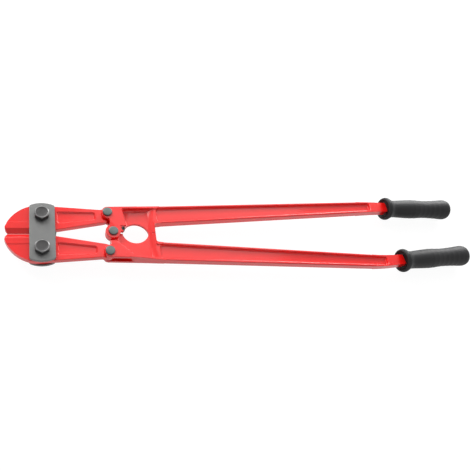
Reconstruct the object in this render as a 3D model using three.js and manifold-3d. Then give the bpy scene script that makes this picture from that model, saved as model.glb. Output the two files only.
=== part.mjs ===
// Bolt cutters, 749 mm long: two forged jaws between side plates, driven through link pins by two
// I-section handles that meet at a centre pin. Millimetres, +Z up, the tool lying on its back.
//
// The pieces are drawn in the tool's own frame: X from the jaw tips to the grips, Y = 0 on the line
// where the jaws close, Z = 0 in the middle plane. The lower half is the mirror of the upper half,
// apart from the joint at the centre pin, the pad's step, the length of the fork's slot and the bend
// of the grip. The last lines set the finished tool on the bench.

import * as THREE from 'three';
import { mergeVertices } from 'three/addons/utils/BufferGeometryUtils.js';
import Module from 'manifold-3d';

// ---- Jaws ----
const JAW_REACH = 43.5;             // jaw tip to jaw pivot, along the tool
const JAW_PIVOT_HALF = 24;          // jaw pivot from the closing line
const JAW_THICKNESS = 9;
const JAW_EDGE_ROUND = 0.8;
const JAW_CLOSED_GAP = 0.3;         // between the two jaws when shut
const NOTCH_DEPTH = 3.5;            // the cutting edges start this far behind the tips
const TIP_HALF_HEIGHT = 9.2;        // from the closing line to the corner of the tip
const FRONT_RADIUS = 46;            // curve of the jaw's front
const FRONT_LENGTH = 28.6;          // length of that curve, along the tool
const FRONT_RISE = 29.2;            // its rise above the tip's corner
const CROWN_RUN = 5;                // the front curve rolls over into the crown along this
const CROWN_BACK = 3.5;             // crown's end behind the jaw pivot
const EDGE_BEVEL = 6.4;             // width of the ground bevel on each face
const EDGE_LAND = 0.5;              // blunt land left along the cutting edge
const EDGE_LENGTH = 34;             // bevel's length from the tip
const KNUCKLE_TOOTH_R = 3.4;        // round tooth that keeps the jaws in step
const KNUCKLE_GAP = 0.3;
const CROWN_RISE = 2.4;             // crown above the front curve's end
const CROWN_FALL = 0.8;             // outer edge at the jaw pivot, below the crown
const TAIL_OVER_PIN = 5.1;          // outer edge above the link pin, which it falls towards
const TAIL_EYE_R = 8;
const TAIL_HEEL = 12.5;             // inner corner of the tail, below the link pin
const TAIL_HEEL_BACK = 2;           // and in front of it
const TAIL_KNEE = [24, 5.9];        // inner edge behind the jaw pivot and above the closing line
const TAIL_HEEL_CUT = 4;            // corner cut off in front of the heel
const TAIL_HEEL_REAR = [3, 1.6];    // heel's rear end, from its corner
const TAIL_POCKET_DEPTH = 2.3;
const TAIL_POCKET_COVE = 1.6;
const TAIL_POCKET_START = 18.8;     // from the jaw pivot
const TAIL_POCKET_STOP = 15.8;      // short of the link pin
const TAIL_RIB = 8.4;               // outer rib of the tail
const TAIL_INNER_RIB = 8.9;         // inner rib of the tail
const TAIL_RIB_TAPER = 0.06;        // both ribs thin towards the link pin

// ---- Linkage ----
const TAIL_REACH = 83;              // jaw pivot to link pin, along the tool
const LINK_PIN_HALF = 29;           // link pin from the closing line
const CENTRE_SETBACK = 6;           // link pin to centre pin, along the tool
const OPEN_PIVOT_PLAY = 3.4;        // play of the lower handle's hole round the centre pin
const RUNNING_GAP = 0.3;            // between faces and bores that turn on each other

// ---- Side plates and their bolts ----
const PLATE_WIDTH = 31;
const PLATE_OVER_BOLT = 13.8;       // corners beyond the bolts
const PLATE_END_RADIUS = 33.5;
const PLATE_THICKNESS = 4;
const PLATE_SETBACK = 0.6;          // plate's middle behind the jaw pivots
const PLATE_EDGE_ROUND = 0.7;
const PLATE_CORNER = 2;
const BOLT_R = 5;
const BOLT_FLATS = 17;
const BOLT_HEAD_HEIGHT = 7.5;
const PLATE_NUT_HEIGHT = 8;
const SPACER_LENGTH = 5.2;          // block between the plates, behind the jaws' knuckle
const SPACER_HALF_HEIGHT = 2.2;
const SPACER_PROUD = 1.4;           // it looks out past the plates by this much
const SPACER_ROUND = 1.6;
const SPACER_DOWEL_R = 1.2;
const SPACER_DOWEL_LENGTH = 2;

// ---- Handles ----
const HEAD_THICKNESS = 20;
const SHAFT_THICKNESS = 12.4;
const HEAD_FLAT_END = 26.5;         // from the centre pin to where the head starts to thin
const HEAD_THIN_LENGTH = 40;
const HEAD_OUTER = 37.6;            // outer edge from the closing line, at the link pin
const SHOULDER_OUTER = 40.6;        // at the round window
const BEND_OUTER = 60;              // and where the bend starts
const SHOULDER_ROUND = 150;         // the outer edge turns this gently at the window
const STOP_INNER = 14.2;            // inner edge from the closing line, behind the stops
const BEND_INNER = 39.2;            // and where the bend starts
const WAIST_DROP = 2.2;             // the fork's underside falls towards the waist
const WAIST_FILLET = 3;
const FORK_EYE_R = 7;
const FORK_EYE_UNDER = 7.2;         // below the link pin
const WAIST_SETBACK = 3.7;          // waist's edge in front of the centre pin
const EAR_R = 10;
const EAR_THICKNESS = 5.4;
const TONGUE_R = 9.6;
const TONGUE_THICKNESS = 6.3;
// The fork's slot, from the link pin: floor, steep rise behind the heel, long run out.
const FORK_SLOT_FLOOR = 15.3;       // below the pin
const FORK_SLOT_CORNERS = [[1, -15.3, 0], [5.5, -11.8, 3], [11, -5, 8]];
const UPPER_SLOT_STOP = 15.5;       // behind the pin, at the outer edge
const LOWER_SLOT_STOP = 32.5;
const WINDOW_R = 18.5;              // the round window between the handles
const WINDOW_OFFSET = 4;            // its arcs are struck from across the closing line
const WINDOW_SETBACK = 31.3;        // centre pin to the window's middle
const STOP_SETBACK = 58;            // centre pin to the back of the stops
const STOP_RAMP = [8.5, 2.5];       // the web climbs to the stop between these, from its back
const STOP_HALF_THICKNESS = 5.3;
const STOP_GAP = 0.3;
const WEB_THICKNESS = 4.2;
const FLANGE = 2.9;                 // width of the flanges beside the pockets
const COVE = 2.8;                   // hollow round at the foot of the flanges
const POCKET_CORNER = COVE + 1;     // corner radius of a pocket in plan
const RIM_CHAMFER = 0.7;            // broken edge round the pockets
const PAD_STEP_TOP = 13.5;          // upper pad's step behind the centre pin, at the outer flange
const PAD_STEP_FOOT = 18;           // and at the window
const DIAGONAL_START = [5, 14.5];   // lower pad's slanted step, from the centre pin
const DIAGONAL_END = [27, 35.4];
const SHAFT_POCKET_START = 4;       // behind the stops
const SHAFT_POCKET_PAST = 26;       // it ends this far into the bend
const LUG_HEIGHT = 8.6;             // underside of the upper pad behind the ear
const LUG_FLOOR = 0.7;
const LUG_DROP = 1;                 // lug's face below the pad
const BEND_START = 546;             // the shaft bends from here to the grip
const BEND_LENGTH = 61;             // from there to the widest part of the grip's ring
const SHAFT_END_HALF = 8.6;         // half height of the shaft where it enters the grip
const TANG_HALF_HEIGHT = 7.4;
const TANG_HALF_THICKNESS = 5.2;
const TANG_SHORT = 20;              // the tang stops this far from the grip's end
const TANG_GAP = 0.3;
const HANDLE_EDGE_ROUND = 0.8;
const EDGE_CHAMFER = 1.1;
const UPPER_MOUTH_Y = 51.5;         // grip's mouth from the closing line
const UPPER_GRIP_ANGLE = 0.5;       // degrees outwards
const LOWER_MOUTH_Y = 48.7;
const LOWER_GRIP_ANGLE = -2.9;

// ---- Pins, collars and the stop screw ----
const LINK_PIN_R = 4.5;
const CENTRE_PIN_R = 3.7;
const PIN_HEAD_R = 6.2;
const PIN_HEAD_HEIGHT = 3;
const RIVET_LIP = 1.1;              // the pins' ends are spread over their collars by this
const RIVET_HEIGHT = 0.9;
const LINK_COLLAR_R = 6.4;
const CENTRE_COLLAR_R = 9;
const COLLAR_THICKNESS = 1.8;
const THREAD_GAP = 0.25;
const STOP_SCREW_R = 2.5;
const STOP_SCREW_PROUD = 0.4;
const STOP_SCREW_SOCKET = 2.5;      // across flats
const STOP_SCREW_SOCKET_DEPTH = 3;

// ---- Grips ----
// Outside radius at distances behind the widest ring.
const GRIP_PROFILE = [
  [-2.8, 17.1], [-1.4, 18.7], [1, 19.4], [4, 19.1], [8.5, 17], [13.5, 15.2], [20.5, 14.8], [36, 15.6],
  [60, 16.6], [85, 15.6], [108, 16.3], [126, 17.6], [132, 17.6], [137, 16.2], [140, 13.4], [141.2, 9.5],
];
const GRIP_END_RISE = 0.6;          // the end's slight dome
const GRIP_MOUTH_R = 16.1;
const GRIP_MOUTH_DEPTH = 7;
const GRIP_MOUTH_FLOOR_R = 13;

// ---- Places worked out from the sizes above ----
const jawHalf = JAW_THICKNESS / 2;
const headHalf = HEAD_THICKNESS / 2;
const shaftHalf = SHAFT_THICKNESS / 2;
const webHalf = WEB_THICKNESS / 2;
const slotHalf = jawHalf + RUNNING_GAP;
const earInner = headHalf - EAR_THICKNESS;
const tongueFront = earInner - RUNNING_GAP;
const tongueBack = tongueFront - TONGUE_THICKNESS;
const plateHalfHeight = JAW_PIVOT_HALF + PLATE_OVER_BOLT;
const plateInner = jawHalf + RUNNING_GAP;
const plateOuter = plateInner + PLATE_THICKNESS;
const jawPivot = [JAW_REACH, JAW_PIVOT_HALF];
const linkPin = [JAW_REACH + TAIL_REACH, LINK_PIN_HALF];
const centrePin = [linkPin[0] + CENTRE_SETBACK, 0];
const windowX = centrePin[0] + WINDOW_SETBACK;
const stopX = centrePin[0] + STOP_SETBACK;
const mouthX = BEND_START + BEND_LENGTH;
const pocketEnd = BEND_START + SHAFT_POCKET_PAST;
const shoulderR = EAR_R + OPEN_PIVOT_PLAY + RUNNING_GAP;
const gripCurve = new THREE.SplineCurve(GRIP_PROFILE.map(([s, r]) => new THREE.Vector2(r, s)));
const gripOutside = gripCurve.getPoints(20).map((p) => [p.x, p.y]);
const gripFlangeR = Math.max(...gripOutside.map(([r]) => r));
const tangLength = GRIP_PROFILE.at(-1)[0] + GRIP_END_RISE - TANG_SHORT;
const CHORD_TOLERANCE = 0.05;       // of a round outline from its true curve
const FAR = 200;                    // longer than any cut needs

// ---- Solids ----
const wasm = await Module();
wasm.setup();

/** A closed three.js geometry as a solid for cutting and joining. */
function solid(geometry) {
  const bare = geometry.clone();
  bare.deleteAttribute('normal');
  bare.deleteAttribute('uv');
  const merged = mergeVertices(bare, 1e-4);
  const index = merged.index.array;
  const kept = [];
  for (let i = 0; i < index.length; i += 3) {
    const [a, b, c] = [index[i], index[i + 1], index[i + 2]];
    if (a !== b && b !== c && c !== a) kept.push(a, b, c);
  }
  const mesh = new wasm.Mesh({
    numProp: 3,
    vertProperties: Float32Array.from(merged.attributes.position.array),
    triVerts: Uint32Array.from(kept),
  });
  return new wasm.Manifold(mesh);
}

/** Turn a solid into a named mesh. */
function named(name, body, material) {
  const { vertProperties, triVerts } = body.getMesh();
  const geometry = new THREE.BufferGeometry();
  geometry.setAttribute('position', new THREE.BufferAttribute(vertProperties, 3));
  geometry.setIndex(new THREE.BufferAttribute(triVerts, 1));
  geometry.computeVertexNormals();
  const mesh = new THREE.Mesh(geometry, material);
  mesh.name = name;
  return mesh;
}

/** Reflect a solid in the closing line, so that an upper piece makes a lower one. */
const mirrored = (body) => body.mirror([0, 1, 0]);

/** The same place in the lower half. */
const lower = ([x, y]) => [x, -y];

/** The height at any X of the straight line through two points. */
function line([x0, y0], [x1, y1]) {
  return (x) => y0 + ((y1 - y0) * (x - x0)) / (x1 - x0);
}

/** Chords needed to follow an arc of this radius and angle to within the tolerance. */
function chordCount(radius, angle) {
  return Math.ceil(angle / (2 * Math.acos(Math.max(1 - CHORD_TOLERANCE / radius, 0))));
}

/** An outline as single points, its curves in chords, and no point twice in a row. */
function chords(shape) {
  const points = shape.curves.flatMap((curve) => {
    const [start, middle, end] = [0, 0.5, 1].map((t) => curve.getTangent(t));
    const bend = start.angleTo(middle) + middle.angleTo(end);
    return curve.getPoints(bend > 0.01 ? chordCount(curve.getLength() / bend, bend) : 1);
  });
  return new THREE.Shape(points.filter((p, i) => p.distanceTo(points.at(i - 1)) > 0.01));
}

/** Extrude a plan outline from one height to another, with rounded rims if asked. */
function slab(shape, low, high, round = 0) {
  const geometry = new THREE.ExtrudeGeometry(chords(shape), {
    depth: high - low - 2 * round,
    bevelEnabled: round > 0,
    bevelThickness: round,
    bevelSize: round,
    bevelOffset: -round,
    bevelSegments: 2,
  });
  return solid(geometry.translate(0, 0, low + round));
}

/** A cutter for a pocket: flat floor, a cove of the given width up to the rim, and a broken rim. */
function pocketCutter(shape, floor, rim, cove) {
  const outline = chords(shape);
  const hollow = new THREE.ExtrudeGeometry(outline, {
    depth: FAR / 4,
    bevelEnabled: true,
    bevelThickness: rim - floor,
    bevelSize: cove,
    bevelOffset: -cove,
    bevelSegments: 3,
  });
  const chamfer = new THREE.ExtrudeGeometry(outline, {
    depth: FAR / 4,
    bevelEnabled: true,
    bevelThickness: RIM_CHAMFER,
    bevelSize: RIM_CHAMFER,
    bevelOffset: 0,
    bevelSegments: 1,
  });
  return solid(hollow.translate(0, 0, rim)).add(solid(chamfer.translate(0, 0, rim)));
}

/** Cut the same pocket into the front face and the back face, leaving a kept solid standing. */
function pocketBothFaces(body, shape, floor, rim, cove, kept = null) {
  const whole = pocketCutter(shape, floor, rim, cove);
  const front = kept ? whole.subtract(kept) : whole;
  return body.subtract(front).subtract(front.mirror([0, 0, 1]));
}

/** A round bar or hole along Z. */
function bar([x, y], radius, low, high) {
  const sides = Math.max(24, 4 * Math.ceil(chordCount(radius, 2 * Math.PI) / 4));
  const geometry = new THREE.CylinderGeometry(radius, radius, high - low, sides);
  return solid(geometry.rotateX(Math.PI / 2).translate(x, y, (low + high) / 2));
}

/** A turned piece along Z, from [radius, height] points that start and end on the axis. */
function turned(points, [x, y], segments = 24) {
  const profile = points.map(([r, h]) => new THREE.Vector2(r, h));
  const geometry = new THREE.LatheGeometry(profile, segments).rotateX(Math.PI / 2);
  return solid(geometry.translate(x, y, 0));
}

/** A box between two corners. */
function block([x0, y0, z0], [x1, y1, z1]) {
  const geometry = new THREE.BoxGeometry(x1 - x0, y1 - y0, z1 - z0);
  return solid(geometry.translate((x0 + x1) / 2, (y0 + y1) / 2, (z0 + z1) / 2));
}

/** Close an outline through corners [x, y, radius], each rounded by its own arc. */
function filleted(corners) {
  const shape = new THREE.Shape();
  corners.forEach(([x, y, radius = 0], i) => {
    const here = new THREE.Vector2(x, y);
    const before = corners[(i + corners.length - 1) % corners.length];
    const after = corners[(i + 1) % corners.length];
    const towards = (p) => new THREE.Vector2(p[0], p[1]).sub(here);
    const [inward, outward] = [towards(before), towards(after)];
    const turn = Math.PI - Math.acos(inward.dot(outward) / inward.length() / outward.length());
    const reach = Math.min(radius * Math.tan(turn / 2), inward.length() / 2, outward.length() / 2);
    const start = here.clone().addScaledVector(inward.normalize(), reach);
    const end = here.clone().addScaledVector(outward.normalize(), reach);
    if (i === 0) shape.moveTo(start.x, start.y);
    else shape.lineTo(start.x, start.y);
    const arcR = reach / Math.tan(turn / 2);
    if (reach > 0) arcTo(shape, end.x, end.y, arcR, cross(inward, outward) > 0);
  });
  return shape;
}

const cross = (a, b) => a.x * b.y - a.y * b.x;

/** Continue an outline to a point along an arc of the given radius. */
function arcTo(shape, x, y, radius, clockwise) {
  const from = shape.currentPoint.clone();
  const chord = new THREE.Vector2(x, y).sub(from);
  const half = chord.length() / 2;
  const rise = Math.sqrt(Math.max(radius * radius - half * half, 0));
  const side = new THREE.Vector2(-chord.y, chord.x).normalize();
  const centre = from.clone().addScaledVector(chord, 0.5).addScaledVector(side, clockwise ? -rise : rise);
  const angle = (p) => Math.atan2(p.y - centre.y, p.x - centre.x);
  shape.absarc(centre.x, centre.y, radius, angle(from), angle({ x, y }), clockwise);
}

/** A hexagon across flats, with corners up and down the Y axis. */
function hexagon(acrossFlats) {
  const radius = acrossFlats / Math.sqrt(3);
  const corner = (k) => Math.PI / 2 + (k * Math.PI) / 3;
  return new THREE.Shape(
    Array.from({ length: 6 }, (_, k) =>
      new THREE.Vector2(radius * Math.cos(corner(k)), radius * Math.sin(corner(k)))),
  );
}

/** A hexagon head or nut between two heights, its corners turned off at the named ends. */
function hexPrism([x, y], acrossFlats, low, high, { offLow = false, offHigh = true } = {}) {
  const corner = acrossFlats / Math.sqrt(3) + 0.05;
  const face = 0.47 * acrossFlats;
  const drop = (corner - face) * Math.tan(Math.PI / 6);
  const profile = [[0, low]];
  if (offLow) profile.push([face, low], [corner, low + drop]);
  else profile.push([corner, low]);
  if (offHigh) profile.push([corner, high - drop], [face, high]);
  else profile.push([corner, high]);
  profile.push([0, high]);
  const prism = slab(hexagon(acrossFlats), low, high).translate([x, y, 0]);
  return prism.intersect(turned(profile, [x, y], 36));
}

// ---- Materials ----
const paint = new THREE.MeshStandardMaterial({ color: 0xd8201c, roughness: 0.32, metalness: 0.0 });
const plateSteel = new THREE.MeshStandardMaterial({ color: 0x7c7d7c, roughness: 0.5, metalness: 0.6 });
const boltSteel = new THREE.MeshStandardMaterial({ color: 0x4c4c4e, roughness: 0.4, metalness: 0.7 });
const pinSteel = new THREE.MeshStandardMaterial({ color: 0x6f7673, roughness: 0.45, metalness: 0.7 });
const rubber = new THREE.MeshStandardMaterial({ color: 0x3a3b3c, roughness: 0.75, metalness: 0.0 });

// ---- Jaws ----

/** Outer edge of a jaw's tail at a place along the tool. */
const crown = TIP_HALF_HEIGHT + FRONT_RISE + CROWN_RISE;
const tailOuter = line([JAW_REACH, crown - CROWN_FALL], [linkPin[0], linkPin[1] + TAIL_OVER_PIN]);

/** Inner edge of a jaw's tail, through the heel below the link pin. */
const heel = [linkPin[0] - TAIL_HEEL_BACK, linkPin[1] - TAIL_HEEL];
const tailInner = line([JAW_REACH + TAIL_KNEE[0], TAIL_KNEE[1]], heel);

/** Where the tail's inner edge leaves the rolling arc round the jaw pivot. */
function knuckleEnd(arcRadius) {
  const drop = tailInner(jawPivot[0]) - jawPivot[1];
  const slope = tailInner(1) - tailInner(0);
  const a = 1 + slope ** 2;
  const b = slope * drop;
  const along = (-b + Math.sqrt(b * b - a * (drop * drop - arcRadius ** 2))) / a;
  return [jawPivot[0] + along, tailInner(jawPivot[0] + along)];
}

/** Plan outline of the upper jaw. */
function jawOutline() {
  const edgeY = JAW_CLOSED_GAP / 2;
  const rollR = JAW_PIVOT_HALF - edgeY;
  const frontTop = [FRONT_LENGTH, TIP_HALF_HEIGHT + FRONT_RISE];
  const crownEnd = jawPivot[0] + CROWN_BACK;
  const tailStart = linkPin[0] - 1.1 * TAIL_EYE_R;
  const eyeTop = linkPin[1] + TAIL_EYE_R;
  const [kneeX, kneeY] = knuckleEnd(rollR);
  const kneeAngle = Math.atan2(kneeY - jawPivot[1], kneeX - jawPivot[0]);
  const heelFront = heel[0] - TAIL_HEEL_CUT;
  const shape = new THREE.Shape();
  shape.moveTo(NOTCH_DEPTH, edgeY);
  shape.quadraticCurveTo(0, TIP_HALF_HEIGHT / 2, 0, TIP_HALF_HEIGHT);
  arcTo(shape, ...frontTop, FRONT_RADIUS, true);
  shape.quadraticCurveTo(frontTop[0] + CROWN_RUN, crown, crownEnd, tailOuter(crownEnd));
  shape.lineTo(tailStart, tailOuter(tailStart));
  shape.quadraticCurveTo(linkPin[0] - TAIL_EYE_R / 2, eyeTop, linkPin[0], eyeTop);
  shape.absarc(...linkPin, TAIL_EYE_R, Math.PI / 2, 0, true);
  shape.lineTo(heel[0] + TAIL_HEEL_REAR[0], heel[1] + TAIL_HEEL_REAR[1]);
  shape.quadraticCurveTo(...heel, heelFront, tailInner(heelFront));
  shape.lineTo(kneeX, kneeY);
  shape.absarc(...jawPivot, rollR, kneeAngle, -Math.PI / 2, true);
  return shape;
}

/** Recess between the ribs of a jaw's tail. */
function tailPocket() {
  const start = jawPivot[0] + TAIL_POCKET_START;
  const stop = linkPin[0] - TAIL_POCKET_STOP;
  const taper = (x) => TAIL_RIB_TAPER * (x - start);
  const outer = (x) => tailOuter(x) - TAIL_RIB + taper(x);
  const inner = (x) => tailInner(x) + TAIL_INNER_RIB - taper(x);
  const corner = TAIL_POCKET_COVE + 0.8;
  return filleted([
    [start, inner(start), corner], [stop, inner(stop), corner],
    [stop, outer(stop), corner], [start, outer(start), corner],
  ]);
}

/** Cutter for the ground bevel on one face: a long wedge that fades out under the plates. */
function bevelCutter() {
  const wedge = new THREE.Shape();
  wedge.moveTo(-1, EDGE_LAND / 2);
  wedge.lineTo(0, EDGE_LAND / 2);
  wedge.lineTo(EDGE_BEVEL, jawHalf);
  wedge.lineTo(EDGE_BEVEL * 1.3, jawHalf * 1.3);
  wedge.lineTo(-1, jawHalf * 1.3);
  const geometry = new THREE.ExtrudeGeometry(wedge, { depth: EDGE_LENGTH + 2, bevelEnabled: false });
  const basis = new THREE.Matrix4().makeBasis(
    new THREE.Vector3(0, 1, 0), new THREE.Vector3(0, 0, 1), new THREE.Vector3(1, 0, 0),
  );
  return solid(geometry.applyMatrix4(basis).translate(-2, 0, 0));
}

/** A jaw in the upper place, before its knuckle is cut. */
function plainJaw() {
  const bevel = bevelCutter();
  const blank = slab(jawOutline(), -jawHalf, jawHalf, JAW_EDGE_ROUND)
    .subtract(bevel)
    .subtract(bevel.mirror([0, 0, 1]))
    .subtract(bar(jawPivot, BOLT_R + RUNNING_GAP, -FAR, FAR))
    .subtract(bar(linkPin, LINK_PIN_R + RUNNING_GAP, -FAR, FAR));
  return pocketBothFaces(blank, tailPocket(), jawHalf - TAIL_POCKET_DEPTH, jawHalf, TAIL_POCKET_COVE);
}

function upperJaw() {
  const tooth = bar([JAW_REACH, 0], KNUCKLE_TOOTH_R, -jawHalf, jawHalf);
  return plainJaw().add(tooth);
}

function lowerJaw() {
  const socket = bar([JAW_REACH, 0], KNUCKLE_TOOTH_R + KNUCKLE_GAP, -FAR, FAR);
  return mirrored(plainJaw()).subtract(socket);
}

// ---- Side plates ----

function plateOutline() {
  const middle = JAW_REACH + PLATE_SETBACK;
  const [left, right] = [middle - PLATE_WIDTH / 2, middle + PLATE_WIDTH / 2];
  const inset = PLATE_CORNER / 2;
  const shape = new THREE.Shape();
  shape.moveTo(right, PLATE_CORNER - plateHalfHeight);
  for (const [side, from, to] of [[1, right, left], [-1, left, right]]) {
    const step = Math.sign(to - from);
    const edge = side * plateHalfHeight;
    shape.lineTo(from, edge - side * PLATE_CORNER);
    shape.quadraticCurveTo(from, edge, from + step * PLATE_CORNER, edge + side * inset);
    arcTo(shape, to - step * PLATE_CORNER, edge + side * inset, PLATE_END_RADIUS, false);
    shape.quadraticCurveTo(to, edge, to, edge - side * PLATE_CORNER);
  }
  return shape;
}

const spacerX = JAW_REACH + PLATE_SETBACK + PLATE_WIDTH / 2 + SPACER_PROUD - SPACER_LENGTH / 2;
const dowelX = spacerX - SPACER_PROUD;

/** A side plate in front of the jaws. The back plate is its reflection. */
function frontPlate() {
  const dowelTop = plateInner + SPACER_DOWEL_LENGTH + RUNNING_GAP;
  return slab(plateOutline(), plateInner, plateOuter, PLATE_EDGE_ROUND)
    .subtract(bar(jawPivot, BOLT_R + RUNNING_GAP, -FAR, FAR))
    .subtract(bar(lower(jawPivot), BOLT_R + RUNNING_GAP, -FAR, FAR))
    .subtract(bar([dowelX, 0], SPACER_DOWEL_R + RUNNING_GAP, 0, dowelTop));
}

/** Block that keeps the plates apart behind the jaws, held by a dowel in each plate. */
function plateSpacer() {
  const [left, right] = [spacerX - SPACER_LENGTH / 2, spacerX + SPACER_LENGTH / 2];
  const outline = filleted([
    [left, -SPACER_HALF_HEIGHT, SPACER_ROUND / 2], [right, -SPACER_HALF_HEIGHT, SPACER_ROUND],
    [right, SPACER_HALF_HEIGHT, SPACER_ROUND], [left, SPACER_HALF_HEIGHT, SPACER_ROUND / 2],
  ]);
  const reach = plateInner + SPACER_DOWEL_LENGTH;
  return slab(outline, -plateInner, plateInner).add(bar([dowelX, 0], SPACER_DOWEL_R, -reach, reach));
}

/** Hexagon bolt through both plates and a jaw; its end reaches down to the bench. */
function plateBolt(at) {
  const headTop = plateOuter + BOLT_HEAD_HEIGHT;
  const shank = turned([
    [0, -gripFlangeR], [BOLT_R - 1, -gripFlangeR], [BOLT_R, 1 - gripFlangeR], [BOLT_R, plateOuter + 1],
    [0, plateOuter + 1],
  ], at);
  return hexPrism(at, BOLT_FLATS, plateOuter, headTop).add(shank);
}

function plateNut(at) {
  const top = -plateOuter;
  return hexPrism(at, BOLT_FLATS, top - PLATE_NUT_HEIGHT, top, { offLow: true, offHigh: false })
    .subtract(bar(at, BOLT_R + THREAD_GAP, -FAR, FAR));
}

// ---- Handles ----

const shoulder = [windowX, SHOULDER_OUTER];
const headEdge = line([linkPin[0], HEAD_OUTER], shoulder);
const shaftEdge = line(shoulder, [BEND_START, BEND_OUTER]);
const outerEdge = (x) => (x < windowX ? headEdge(x) : shaftEdge(x));
const innerEdge = line([stopX, STOP_INNER], [BEND_START, BEND_INNER]);

/** The bend's two long edges, as points from the straight shaft to the grip's mouth. */
function bendEdges(mouthY, angle) {
  const start = new THREE.Vector2(BEND_START, (outerEdge(BEND_START) + innerEdge(BEND_START)) / 2);
  const end = new THREE.Vector2(mouthX, mouthY);
  const middle = start.clone().lerp(end, 0.5);
  const slope = (shaftEdge(1) - shaftEdge(0) + innerEdge(1) - innerEdge(0)) / 2;
  const startHalf = (outerEdge(BEND_START) - innerEdge(BEND_START)) / 2;
  const knee = new THREE.Vector2(middle.x, start.y + slope * (middle.x - start.x));
  const back = new THREE.Vector2(middle.x, end.y - Math.tan(angle) * (end.x - middle.x));
  const path = new THREE.CubicBezierCurve(start, knee.lerp(start, 0.3), back.lerp(end, 0.3), end);
  const steps = 8;
  const edges = { outer: [], inner: [] };
  for (let i = 0; i <= steps; i += 1) {
    const point = path.getPoint(i / steps);
    const run = path.getTangent(i / steps);
    const half = THREE.MathUtils.lerp(startHalf, SHAFT_END_HALF, i / steps);
    edges.outer.push([point.x - run.y * half, point.y + run.x * half]);
    edges.inner.push([point.x + run.y * half, point.y - run.x * half]);
  }
  return edges;
}

/** Plan outline of a handle without its tang. */
function handleOutline(mouthY, angle) {
  const edgeY = STOP_GAP / 2;
  const waist = centrePin[0] - WAIST_SETBACK;
  const front = linkPin[0] - FORK_EYE_R;
  const { outer, inner } = bendEdges(mouthY, angle);
  return filleted([
    [front, outerEdge(front), FORK_EYE_R],
    [front, linkPin[1] - FORK_EYE_UNDER, FORK_EYE_R],
    [waist, linkPin[1] - FORK_EYE_UNDER - WAIST_DROP, WAIST_FILLET],
    [waist, edgeY],
    [stopX, edgeY],
    [stopX, innerEdge(stopX), WAIST_FILLET],
    ...inner,
    ...outer.reverse(),
    [...shoulder, SHOULDER_ROUND],
  ]);
}

/** Side view of the head and shaft: thick at the head, thinning to the shaft. */
function thicknessProfile() {
  const flatEnd = centrePin[0] + HEAD_FLAT_END;
  const thin = flatEnd + HEAD_THIN_LENGTH;
  const profile = new THREE.Shape();
  profile.moveTo(linkPin[0] - FAR / 4, -headHalf);
  profile.lineTo(flatEnd, -headHalf);
  profile.lineTo(thin, -shaftHalf);
  profile.lineTo(mouthX + FAR, -shaftHalf);
  profile.lineTo(mouthX + FAR, shaftHalf);
  profile.lineTo(thin, shaftHalf);
  profile.lineTo(flatEnd, headHalf);
  profile.lineTo(linkPin[0] - FAR / 4, headHalf);
  const geometry = new THREE.ExtrudeGeometry(profile, { depth: FAR, bevelEnabled: false });
  return solid(geometry.rotateX(Math.PI / 2).translate(0, FAR / 2, 0));
}

/** Slot in the fork for the jaw's tail, which swings out of it to the outer side. */
function forkSlot(stopBehind) {
  const [x, y] = linkPin;
  const front = x - 3 * TAIL_EYE_R;
  const stop = x + stopBehind;
  const outline = filleted([
    [front, y - FORK_SLOT_FLOOR],
    ...FORK_SLOT_CORNERS.map(([along, up, r]) => [x + along, y + up, r]),
    [stop, outerEdge(stop) + RUNNING_GAP], [stop, y + FAR], [front, y + FAR],
  ]);
  return slab(outline, -slotHalf, slotHalf);
}

/** Recess behind the pad, open into the round window. It runs on over the stop to the shaft's recess. */
function windowPocket(start, end) {
  const right = stopX + SHAFT_POCKET_START + COVE;
  const rim = (x) => outerEdge(x) - FLANGE;
  return filleted([
    [start[0] + 1, -WINDOW_OFFSET], start, [end[0], rim(end[0]), POCKET_CORNER],
    [windowX, rim(windowX), SHOULDER_ROUND], [right, rim(right), POCKET_CORNER],
    [right, innerEdge(right) + FLANGE, POCKET_CORNER],
    [stopX, innerEdge(stopX) + FLANGE], [stopX, -WINDOW_OFFSET],
  ]);
}

/** What stands in that recess at its back: the web climbs in a ramp and carries the stop. */
function stopRamp() {
  const [foot, head] = STOP_RAMP.map((along) => stopX - along);
  const ramp = new THREE.Shape();
  ramp.moveTo(foot, 0);
  ramp.lineTo(foot, webHalf);
  ramp.lineTo(head, STOP_HALF_THICKNESS);
  ramp.lineTo(foot + FAR, STOP_HALF_THICKNESS);
  ramp.lineTo(foot + FAR, 0);
  const geometry = new THREE.ExtrudeGeometry(ramp, { depth: FAR, bevelEnabled: false });
  return solid(geometry.rotateX(Math.PI / 2).translate(0, FAR / 2, 0));
}

/** Long recess along the shaft, between its flanges. */
function shaftPocket() {
  const start = stopX + SHAFT_POCKET_START;
  const outer = (x) => outerEdge(x) - FLANGE;
  const inner = (x) => innerEdge(x) + FLANGE;
  return filleted([
    [start, inner(start), POCKET_CORNER],
    [pocketEnd, inner(pocketEnd), POCKET_CORNER],
    [pocketEnd, outer(pocketEnd), POCKET_CORNER],
    [start, outer(start), POCKET_CORNER],
  ]);
}

/** The tang that the grip is pushed on to, grown by a gap to cut the grip's bore. */
function tang(mouthY, angle, gap) {
  const half = TANG_HALF_HEIGHT + gap;
  const thick = TANG_HALF_THICKNESS + gap;
  const section = filleted([[-thick, -half, 3], [thick, -half, 3], [thick, half, 3], [-thick, half, 3]]);
  const geometry = new THREE.ExtrudeGeometry(chords(section), {
    depth: tangLength + gap, bevelEnabled: false,
  });
  const basis = new THREE.Matrix4().makeBasis(
    new THREE.Vector3(0, 0, 1), new THREE.Vector3(0, 1, 0), new THREE.Vector3(-1, 0, 0),
  );
  geometry.applyMatrix4(basis).translate(tangLength + gap, 0, 0);
  return solid(geometry.rotateZ(angle).translate(mouthX, mouthY, 0));
}

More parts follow.
